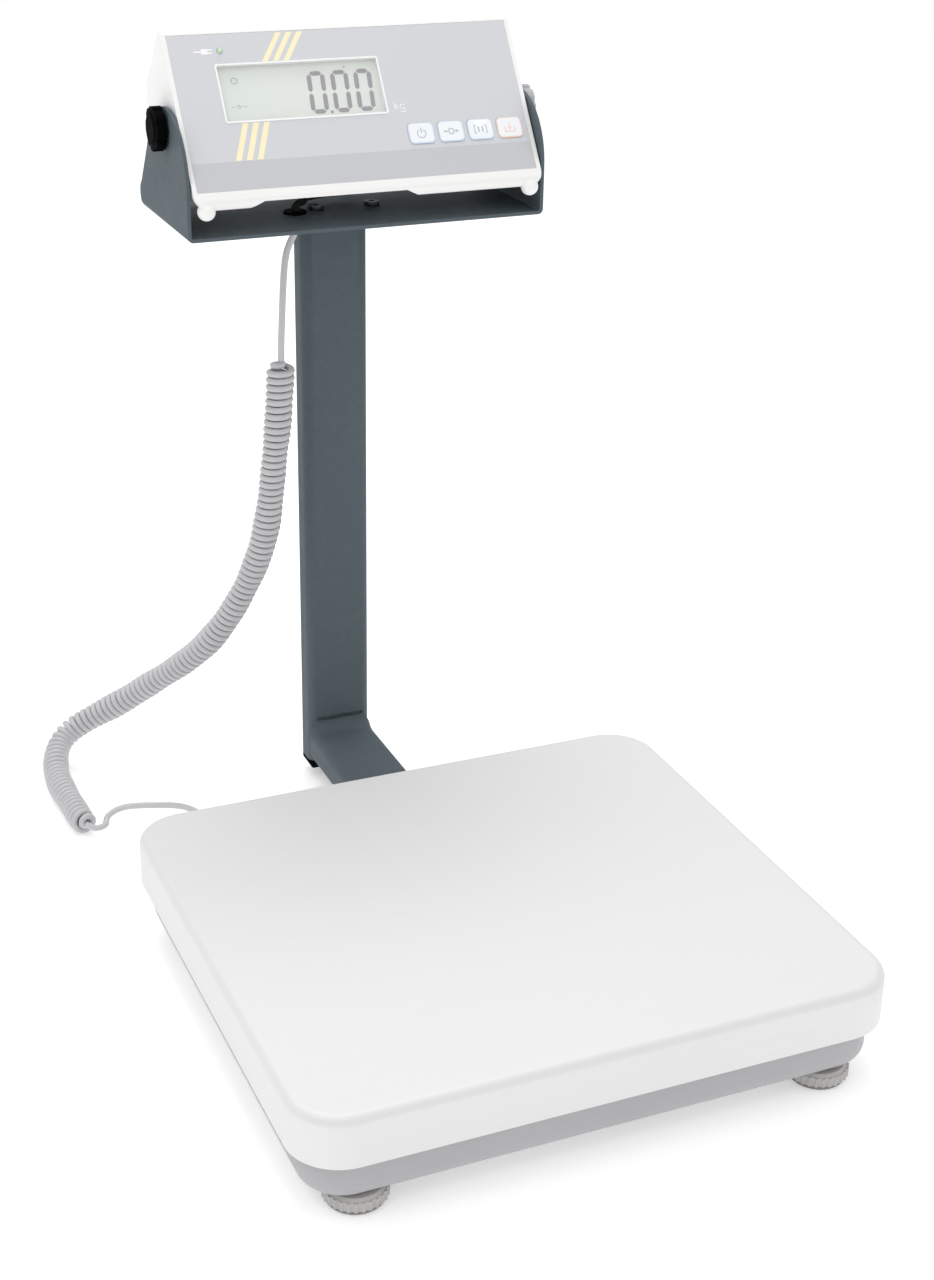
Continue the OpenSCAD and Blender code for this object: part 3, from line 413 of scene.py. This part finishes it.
class Face:
    """Turns (across, up the slope, out of the face) in millimetres into a point of the frame."""

    def __init__(self):
        axis = next(j["axis"] for j in frame["joints"] if j["name"] == "key_zero_press")
        self.out = Vector(axis).normalized()
        self.up = Vector((0, self.out.z, -self.out.y))
        lo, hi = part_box("face_plate")
        size = hi - lo
        sine, cosine = self.up.y, self.up.z
        self.height = (sine * size.y - cosine * size.z) / (sine ** 2 - cosine ** 2)
        self.width = size.x
        self.origin = Vector(((lo.x + hi.x) / 2, lo.y, hi.z - self.height * cosine))

    def point(self, u, v, w):
        return self.origin + Vector((u * MM, 0, 0)) + self.up * (v * MM) + self.out * (w * MM)

    def centre_of(self, node):
        lo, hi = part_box(node)
        middle = (lo + hi) / 2 - self.origin
        return middle.x / MM, middle.dot(self.up) / MM

    def reach_of(self, node):
        """Half width and half height of a node on the face, and how far it stands out."""
        co = [v.co - self.origin for v in nodes[node].data.vertices]
        ups = [c.dot(self.up) / MM for c in co]
        lo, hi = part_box(node)
        return (hi.x - lo.x) / 2 / MM, (max(ups) - min(ups)) / 2, max(c.dot(self.out) for c in co) / MM


face = Face()
INK_T = 0.05  # how far a print stands off the face, in millimetres


def slab(outline, w, t=INK_T):
    """A thin plate with the given (u, v) outline, standing from w to w + t."""
    n = len(outline)
    points = [face.point(u, v, w) for u, v in outline] + [face.point(u, v, w + t) for u, v in outline]
    faces = [tuple(range(n)), tuple(range(2 * n - 1, n - 1, -1))]
    faces += [(i, (i + 1) % n, n + (i + 1) % n, n + i) for i in range(n)]
    return points, faces


def bar(a, b, width, w):
    """A straight stroke from a to b."""
    a, b = Vector(a), Vector(b)
    along = (b - a).normalized()
    side = Vector((-along.y, along.x)) * width / 2
    return slab([a - side, b - side, b + side, a + side], w)


def arc_outline(centre, radius, start, end, steps):
    return [(centre[0] + radius * math.cos(math.radians(start + (end - start) * i / steps)),
             centre[1] + radius * math.sin(math.radians(start + (end - start) * i / steps)))
            for i in range(steps + 1)]


def ring_slab(outer, inner, w, t=INK_T):
    """A thin closed band between two outlines with the same number of points."""
    n = len(outer)
    rows = [[face.point(u, v, h) for u, v in line] for line in (outer, inner) for h in (w, w + t)]
    points = [p for row in rows for p in row]
    faces = []
    for i in range(n):
        j = (i + 1) % n
        for a, b in ((0, 1), (1, 3), (3, 2), (2, 0)):
            faces.append((a * n + i, a * n + j, b * n + j, b * n + i))
    return points, faces


def arc_band(centre, radius, width, start, end, w, steps=24):
    outer = arc_outline(centre, radius + width / 2, start, end, steps)
    inner = arc_outline(centre, radius - width / 2, end, start, steps)
    return slab(outer + inner, w)


def circle_band(centre, radius, width, w, steps=32):
    outer = arc_outline(centre, radius + width / 2, 0, 360, steps)[:-1]
    inner = arc_outline(centre, radius - width / 2, 0, 360, steps)[:-1]
    return ring_slab(outer, inner, w)


def rounded_outline(centre, half_w, half_h, radius, steps=6):
    """A rounded rectangle."""
    line = []
    for sx, sy, start in ((1, 1, 0), (-1, 1, 90), (-1, -1, 180), (1, -1, 270)):
        corner = (centre[0] + sx * (half_w - radius), centre[1] + sy * (half_h - radius))
        line += arc_outline(corner, radius, start, start + 90, steps)
    return line


def printed(name, shapes, ink, body, slot="plate_film"):
    thing = piece(name, *merge(shapes), INK[ink], slot)
    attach(thing, body)
    return thing


# ------------------------------------------------------------------ what is printed on the face

def face_print():
    half = face.width / 2 / MM
    top = face.height / MM
    band_h = 16.3
    edge = 0.2
    printed("print_band", [slab([(-half + edge, edge), (half - edge, edge), (half - edge, band_h),
                                 (-half + edge, band_h)], 0.0)], "band", "display")

    window_u, window_v = face.centre_of("lcd_frame")
    half_w, half_h, _ = face.reach_of("lcd_frame")
    stripe_w, stripe_gap = 3.3, 2.8
    above = window_v + half_h + 0.3
    below = window_v - half_h - 0.3
    runs = ((window_u - 19.7, above, window_u - 8.8, top - 0.8),
            (window_u - 45.9, band_h + 0.3, window_u - 37.9, below))
    stripes = []
    for low_u, low, high_u, high in runs:
        for k in range(3):
            shift = k * (stripe_w + stripe_gap)
            stripes.append(slab([(low_u + shift, low), (low_u + shift + stripe_w, low),
                                 (high_u + shift + stripe_w, high), (high_u + shift, high)], 0.0))
    printed("print_stripes", stripes, "yellow", "display")

    unit_sign(window_u + half_w + 4.0, window_v - half_h + 2.2)
    plug_sign()


def unit_sign(u, v):
    """The unit kg, in plain strokes."""
    thin = 0.45
    k_sign = [bar((u, v), (u, v + 4.4), thin, 0.0), bar((u, v + 1.3), (u + 1.9, v + 3.0), thin, 0.0),
              bar((u + 0.7, v + 1.9), (u + 2.1, v), thin, 0.0)]
    g_u = u + 4.6
    g_sign = [circle_band((g_u, v + 1.5), 1.25, thin, 0.0),
              bar((g_u + 1.3, v + 2.9), (g_u + 1.3, v - 0.6), thin, 0.0),
              arc_band((g_u, v - 0.5), 1.3, thin, 180, 360, 0.0, 12)]
    printed("print_unit", k_sign + g_sign, "white", "display")


def plug_sign():
    """A mains plug symbol beside the status light."""
    u, v = face.centre_of("status_led")
    u -= 10.4
    body = slab([(u, v - 1.6), (u + 3.6, v - 1.6), (u + 3.6, v + 1.6), (u, v + 1.6)], 0.0)
    prongs = [bar((u + 3.5, v + s * 0.9), (u + 6.2, v + s * 0.9), 0.75, 0.0) for s in (-1, 1)]
    cable = bar((u - 4.2, v), (u + 0.1, v), 0.85, 0.0)
    printed("print_plug", [body, cable] + prongs, "white", "display")


def key_print(node, ink, icon):
    """The coloured outline and the symbol on one key. Both ride on the key."""
    u, v = face.centre_of(node)
    reach_w, reach_h, out = face.reach_of(node)
    half_w, half_h = reach_w - 0.9, reach_h - 0.9
    outer = rounded_outline((u, v), half_w - 0.05, half_h - 0.05, 2.6)
    inner = rounded_outline((u, v), half_w - 0.85, half_h - 0.85, 2.0)
    rim = ring_slab(outer, inner, out - 0.28, 0.2)
    printed(node + "_outline", [rim], ink, node, "key_white")
    printed(node + "_symbol", icon(u, v, out), "grey" if ink == "blue" else "orange", node, "key_white")


def power_icon(u, v, w):
    return [arc_band((u, v - 0.3), 2.5, 0.55, 120, 420, w), bar((u, v), (u, v + 3.2), 0.6, w)]


def arrow(u, v, way, w):
    tip = u + way * 1.1
    return [bar((u - way * 1.1, v), (tip, v), 0.5, w), bar((tip, v), (tip - way * 0.8, v + 0.8), 0.45, w),
            bar((tip, v), (tip - way * 0.8, v - 0.8), 0.45, w)]


def zero_icon(u, v, w):
    return [circle_band((u, v), 1.6, 0.6, w)] + arrow(u - 3.6, v, 1, w) + arrow(u + 3.6, v, -1, w)


def hold_icon(u, v, w):
    marks = [bar((u + s * 1.2, v - 1.7), (u + s * 1.2, v + 1.7), 0.8, w) for s in (-1, 1)]
    for s in (-1, 1):
        marks.append(bar((u + s * 3.6, v - 2.4), (u + s * 3.6, v + 2.4), 0.5, w))
        for end in (-1, 1):
            marks.append(bar((u + s * 3.6, v + end * 2.3), (u + s * 2.7, v + end * 2.3), 0.5, w))
    return marks


def tare_icon(u, v, w):
    box = [bar((u - 3.0, v + 0.6), (u - 3.0, v - 2.4), 0.55, w),
           bar((u - 3.0, v - 2.4), (u + 3.0, v - 2.4), 0.55, w),
           bar((u + 3.0, v - 2.4), (u + 3.0, v + 0.6), 0.55, w)]
    drop = [bar((u, v + 3.0), (u, v - 0.8), 0.55, w), bar((u, v - 0.9), (u - 1.2, v + 0.3), 0.5, w),
            bar((u, v - 0.9), (u + 1.2, v + 0.3), 0.5, w)]
    return box + drop


# ------------------------------------------------------------------ the readout

def segment_shape(a, b, thick, w):
    """A bar with pointed ends."""
    a, b = Vector(a), Vector(b)
    along = (b - a).normalized()
    side = Vector((-along.y, along.x)) * thick / 2
    nip = along * thick / 2
    return slab([a, a + nip - side, b - nip - side, b, b - nip + side, a + nip + side], w)


def digit_zero(u, v, width, height, w):
    """A seven-segment 0 that leans to the right, with its lower left corner at (u, v)."""
    thick, gap, lean = 2.6, 0.35, 0.065
    def at(x, y):
        return (u + x + lean * y, v + y)
    inset = thick / 2
    left, right = inset, width - inset
    low, mid, high = inset, height / 2, height - inset
    strokes = [((left + gap, low), (right - gap, low)), ((left + gap, high), (right - gap, high))]
    for x in (left, right):
        strokes += [((x, low + gap), (x, mid - gap)), ((x, mid + gap), (x, high - gap))]
    return [segment_shape(at(*a), at(*b), thick, w) for a, b in strokes]


def readout():
    window_u, window_v = face.centre_of("lcd_window")
    half_w, half_h, _ = face.reach_of("lcd_window")
    _, _, glass_w = face.reach_of("lcd_module")
    digit_w, digit_h, pitch = 10.4, 24.8, 13.7
    right = window_u + half_w - 5.2
    low = window_v - digit_h / 2 - 1.2
    dark = []
    for k in range(3):
        dark += digit_zero(right - digit_w - k * pitch, low, digit_w, digit_h, glass_w)
    dot_u = right - digit_w - pitch - 1.7
    dark.append(slab(arc_outline((dot_u, low + 0.6), 0.9, 0, 360, 12)[:-1], glass_w))
    printed("readout_digits", dark, "segment", "display", "lcd_green")

    left = window_u - half_w + 9.3
    faint = [circle_band((left, window_v + 8.1), 1.7, 0.6, glass_w)]
    level = window_v - 6.8
    faint += [bar((left + s * 2.0, level), (left + s * 4.6, level), 0.45, glass_w) for s in (-1, 1)]
    diamond = [(left - 1.3, level), (left, level - 1.3), (left + 1.3, level), (left, level + 1.3)]
    hollow = [(left - 0.7, level), (left, level - 0.7), (left + 0.7, level), (left, level + 0.7)]
    faint.append(ring_slab(diamond, hollow, glass_w))
    mark = right - digit_w - pitch + digit_w
    tip = low + digit_h + 2.6
    faint.append(slab([(mark - 1.0, tip - 1.5), (mark + 1.0, tip - 1.5), (mark, tip)], glass_w))
    printed("readout_signs", faint, "faint_segment", "display", "lcd_green")


# ------------------------------------------------------------------ cords

def mm_points(*rows):
    return [Vector(row) * MM for row in rows]


def spring_cord():
    """The coiled cord: a plain lead, the coils along a sagging line, and a plain lead to the platform."""
    wire_r, coil_r, turns, per_turn = 1.95 * MM, 6.2 * MM, 100, 18
    grommet_lo, grommet_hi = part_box("cable_grommet")
    gland_lo, gland_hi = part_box("base_cable_gland")
    outlet = (grommet_lo + grommet_hi) / 2
    inlet = (gland_lo + gland_hi) / 2
    middle = smooth_line(mm_points((-30.5, 250, 288), (-34.5, 252, 235), (-43, 262, 165), (-69, 285, 102),
                                   (-109, 325, 53), (-150, 345, 22), (-165, 318, 10), (-165, 264, 9),
                                   (-163, 246, 9)), 24)
    lengths = [0.0]
    for a, b in zip(middle, middle[1:]):
        lengths.append(lengths[-1] + (b - a).length)
    total = lengths[-1]
    count = turns * per_turn
    line = []
    across = None
    spot = 0
    for i in range(count + 1):
        share = i / count
        want = share * total
        while spot < len(lengths) - 2 and lengths[spot + 1] < want:
            spot += 1
        part = (want - lengths[spot]) / (lengths[spot + 1] - lengths[spot])
        centre = middle[spot].lerp(middle[spot + 1], part)
        along = (middle[spot + 1] - middle[spot]).normalized()
        if across is None:
            across = Vector((1, 0, 0))
        across = (across - along * across.dot(along)).normalized()
        over = along.cross(across)
        ramp = min(1.0, share * turns / 0.8, (1 - share) * turns / 0.8)
        turn = 2 * math.pi * i / per_turn
        wobble = 1.0 + 0.05 * math.sin(share * 31.0) + 0.03 * math.sin(share * 87.0)
        radius = coil_r * ramp * wobble
        line.append(centre + radius * (math.cos(turn) * across + math.sin(turn) * over))
    upper = smooth_line([Vector((outlet.x, outlet.y, grommet_hi.z - 1 * MM)),
                         Vector((outlet.x, outlet.y, grommet_lo.z - 6 * MM))]
                        + mm_points((-26.8, 250, 348), (-29.8, 250, 307)) + [line[0]], 8)
    loose = mm_points((-159, 240, 9), (-153, 240, 10), (-149, 247, 12), (-138, 250, 14),
                      (-121, 242, 16), (-106, 226, 20), (-100, 196, 25))
    entry = [Vector((inlet.x, gland_hi.y + 10 * MM, inlet.z)),
             Vector((inlet.x, gland_hi.y + 3 * MM, inlet.z)),
             Vector((inlet.x, gland_lo.y + 6 * MM, inlet.z))]
    lower = smooth_line([line[-1]] + loose + entry, 8)
    whole = upper[:-1] + line + lower[1:]
    cord = piece("spring_cord", *swept_tube(whole, [wire_r] * len(whole), 10), FINISH["cord_sheath"],
                 "cord_sheath", smooth=True)
    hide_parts("coil_cord")
    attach(cord, "base")


def tray_lead():
    """The soft black lead that lies in the tray."""
    grommet_lo, grommet_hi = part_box("cable_grommet")
    gland_lo, gland_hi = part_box("display_gland")
    outlet = (grommet_lo + grommet_hi) / 2
    inlet = (gland_lo + gland_hi) / 2
    low_z = grommet_hi.z + 3.5 * MM
    line = smooth_line([Vector((outlet.x, outlet.y, grommet_hi.z + 0.1 * MM)),
                        Vector((outlet.x, outlet.y, grommet_hi.z + 1.7 * MM)),
                        Vector((outlet.x + 2.5 * MM, outlet.y + 1.5 * MM, low_z)),
                        Vector((outlet.x + 7 * MM, outlet.y + 5 * MM, low_z + 0.4 * MM)),
                        Vector((outlet.x + 11 * MM, outlet.y + 14 * MM, low_z)),
                        Vector((inlet.x - 20 * MM, inlet.y + 6 * MM, low_z)),
                        Vector((inlet.x - 7 * MM, inlet.y + 6 * MM, low_z)),
                        Vector((inlet.x, inlet.y + 3.5 * MM, low_z + 1.6 * MM)),
                        Vector((inlet.x, inlet.y, gland_lo.z - 2 * MM)),
                        Vector((inlet.x, inlet.y, gland_lo.z + 0.5 * MM))], 8)
    lead = piece("tray_lead", *swept_tube(line, [2.1 * MM] * len(line), 12), FINISH["black_sheath"],
                 "black_sheath", smooth=True)
    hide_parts("display_lead")
    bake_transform(lead)


def flexing_cell():
    """The load cell copied as it is; its bolted end and the end under the spider are worked out but not used."""
    source = nodes["load_cell"].data
    points = [vertex.co.copy() for vertex in source.vertices]
    faces = [tuple(side.vertices) for side in source.polygons]
    lower_lo, lower_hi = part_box("lower_spacer")
    upper_lo, upper_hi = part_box("upper_spacer")
    fixed, free = (lower_lo + lower_hi) / 2, (upper_lo + upper_hi) / 2
    free.y, free.z = fixed.y, fixed.z
    inward = (free - fixed).normalized()
    fixed += inward * (lower_hi.x - lower_lo.x) / 2
    free -= inward * (upper_hi.x - upper_lo.x) / 2
    cell = piece("flexing_load_cell", points, faces, FINISH["cell_alloy"], "cell_alloy")
    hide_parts("load_cell")
    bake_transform(cell)


def weld_ripples():
    """The weld between the arm and the column: overlapping half-round ripples along the joint."""
    lo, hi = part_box("weld_bead")
    count = 19
    step = (hi.x - lo.x) / (count - 1)
    y, z = hi.y, (lo.z + hi.z) / 2
    shapes = []
    for i in range(count):
        centre = Vector((lo.x + i * step, y, z + random.uniform(-0.15, 0.15) * MM))
        reach = (1.15 + random.uniform(-0.1, 0.1)) * MM
        rings, sides = 6, 12
        points, faces = [], []
        for r in range(rings + 1):
            lift = math.pi * r / rings
            for k in range(sides):
                turn = 2 * math.pi * k / sides
                points.append(centre + Vector((reach * 1.1 * math.cos(lift),
                                               -abs(0.85 * reach * math.sin(lift) * math.cos(turn)),
                                               reach * math.sin(lift) * math.sin(turn))))
        for r in range(rings):
            for k in range(sides):
                a, b = r * sides + k, r * sides + (k + 1) % sides
                faces.append((a, b, b + sides, a + sides))
        shapes.append((points, faces))
    bead = piece("weld_ripples", *merge(shapes), FINISH["stand_coat"], "stand_coat", smooth=True)
    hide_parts("weld_bead")
    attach(bead, "base")


# ------------------------------------------------------------------ stage

WORLD_LIGHT = 0.69
FLOOR_GLOW = 0.34
KEY_POWER = 9
TOP_POWER = 16
SIDE_POWER = 1.5
LENS = 58.53
CAMERA_PLACE = (-0.397, -0.8621, 0.6516)
CAMERA_ANGLES = (-23.69, 24.83, 1.08)  # turn, pitch and roll in degrees

def camera():
    """The viewing angle: in front, to the left and above, turned and pitched in degrees."""
    turn, pitch, roll = (math.radians(a) for a in CAMERA_ANGLES)
    ahead = Vector((-math.sin(turn), math.cos(turn), 0))
    right = Vector((math.cos(turn), math.sin(turn), 0))
    up = Vector((0, 0, 1))
    look = ahead * math.cos(pitch) - up * math.sin(pitch)
    head = up * math.cos(pitch) + ahead * math.sin(pitch)
    side = right * math.cos(roll) + head * math.sin(roll)
    top = head * math.cos(roll) - right * math.sin(roll)
    data = bpy.data.cameras.new("camera")
    data.sensor_width = 36.0
    data.lens = LENS
    data.clip_start = 0.02
    data.clip_end = 20.0
    seen = bpy.data.objects.new("camera", data)
    seen.matrix_world = Matrix((side, top, -look)).transposed().to_4x4()
    seen.location = Vector(CAMERA_PLACE)
    bpy.context.scene.collection.objects.link(seen)
    bpy.context.scene.camera = seen


def area_light(name, place, aim, size, power):
    data = bpy.data.lights.new(name, "AREA")
    data.shape = "RECTANGLE"
    data.size, data.size_y = size
    data.energy = power
    lamp = bpy.data.objects.new(name, data)
    lamp.location = place
    lamp.rotation_euler = (Vector(aim) - Vector(place)).to_track_quat("-Z", "Y").to_euler()
    bpy.context.scene.collection.objects.link(lamp)


def studio():
    scene = bpy.context.scene
    scene.view_settings.view_transform = "Standard"
    world = bpy.data.worlds.new("studio")
    scene.world = world
    world.use_nodes = True
    backdrop = world.node_tree.nodes["Background"]
    backdrop.inputs["Color"].default_value = (1.0, 1.0, 1.0, 1.0)
    # the world lights softly, yet the camera sees it as white as the floor
    seen = world.node_tree.nodes.new("ShaderNodeLightPath")
    strength = world.node_tree.nodes.new("ShaderNodeMapRange")
    strength.inputs["To Min"].default_value = WORLD_LIGHT
    strength.inputs["To Max"].default_value = 1.0
    world.node_tree.links.new(seen.outputs["Is Camera Ray"], strength.inputs["Value"])
    world.node_tree.links.new(strength.outputs["Result"], backdrop.inputs["Strength"])
    area_light("key", (-0.9, -0.5, 2.0), (0, 0.05, 0.1), (1.2, 1.2), KEY_POWER)
    area_light("top", (0.2, 0.9, 2.0), (0, 0.1, 0.1), (1.6, 1.0), TOP_POWER)
    area_light("side", (1.6, -0.8, 1.0), (0, 0, 0.15), (0.8, 1.2), SIDE_POWER)

    floor_shader = Shader("studio_floor", (0.93, 0.93, 0.93), roughness=0.6)
    floor_shader.vary(1.5, 0.2, dark=0.985)
    floor_shader.set("Emission Color", (1.0, 1.0, 1.0, 1.0))
    floor_shader.set("Emission Strength", FLOOR_GLOW)
    reach = 6.0
    mesh = bpy.data.meshes.new("floor")
    corners = [(-reach, -reach, 0), (reach, -reach, 0), (reach, reach, 0), (-reach, reach, 0)]
    mesh.from_pydata(corners, [], [(0, 1, 2, 3)])
    mesh.materials.append(floor_shader.material)
    floor = bpy.data.objects.new("floor", mesh)
    scene.collection.objects.link(floor)


finish_cad_nodes()
face_print()
key_print("key_on_off", "blue", power_icon)
key_print("key_zero", "blue", zero_icon)
key_print("key_hold", "blue", hold_icon)
key_print("key_tare", "orange", tare_icon)
readout()
spring_cord()
tray_lead()
flexing_cell()
weld_ripples()
camera()
studio()
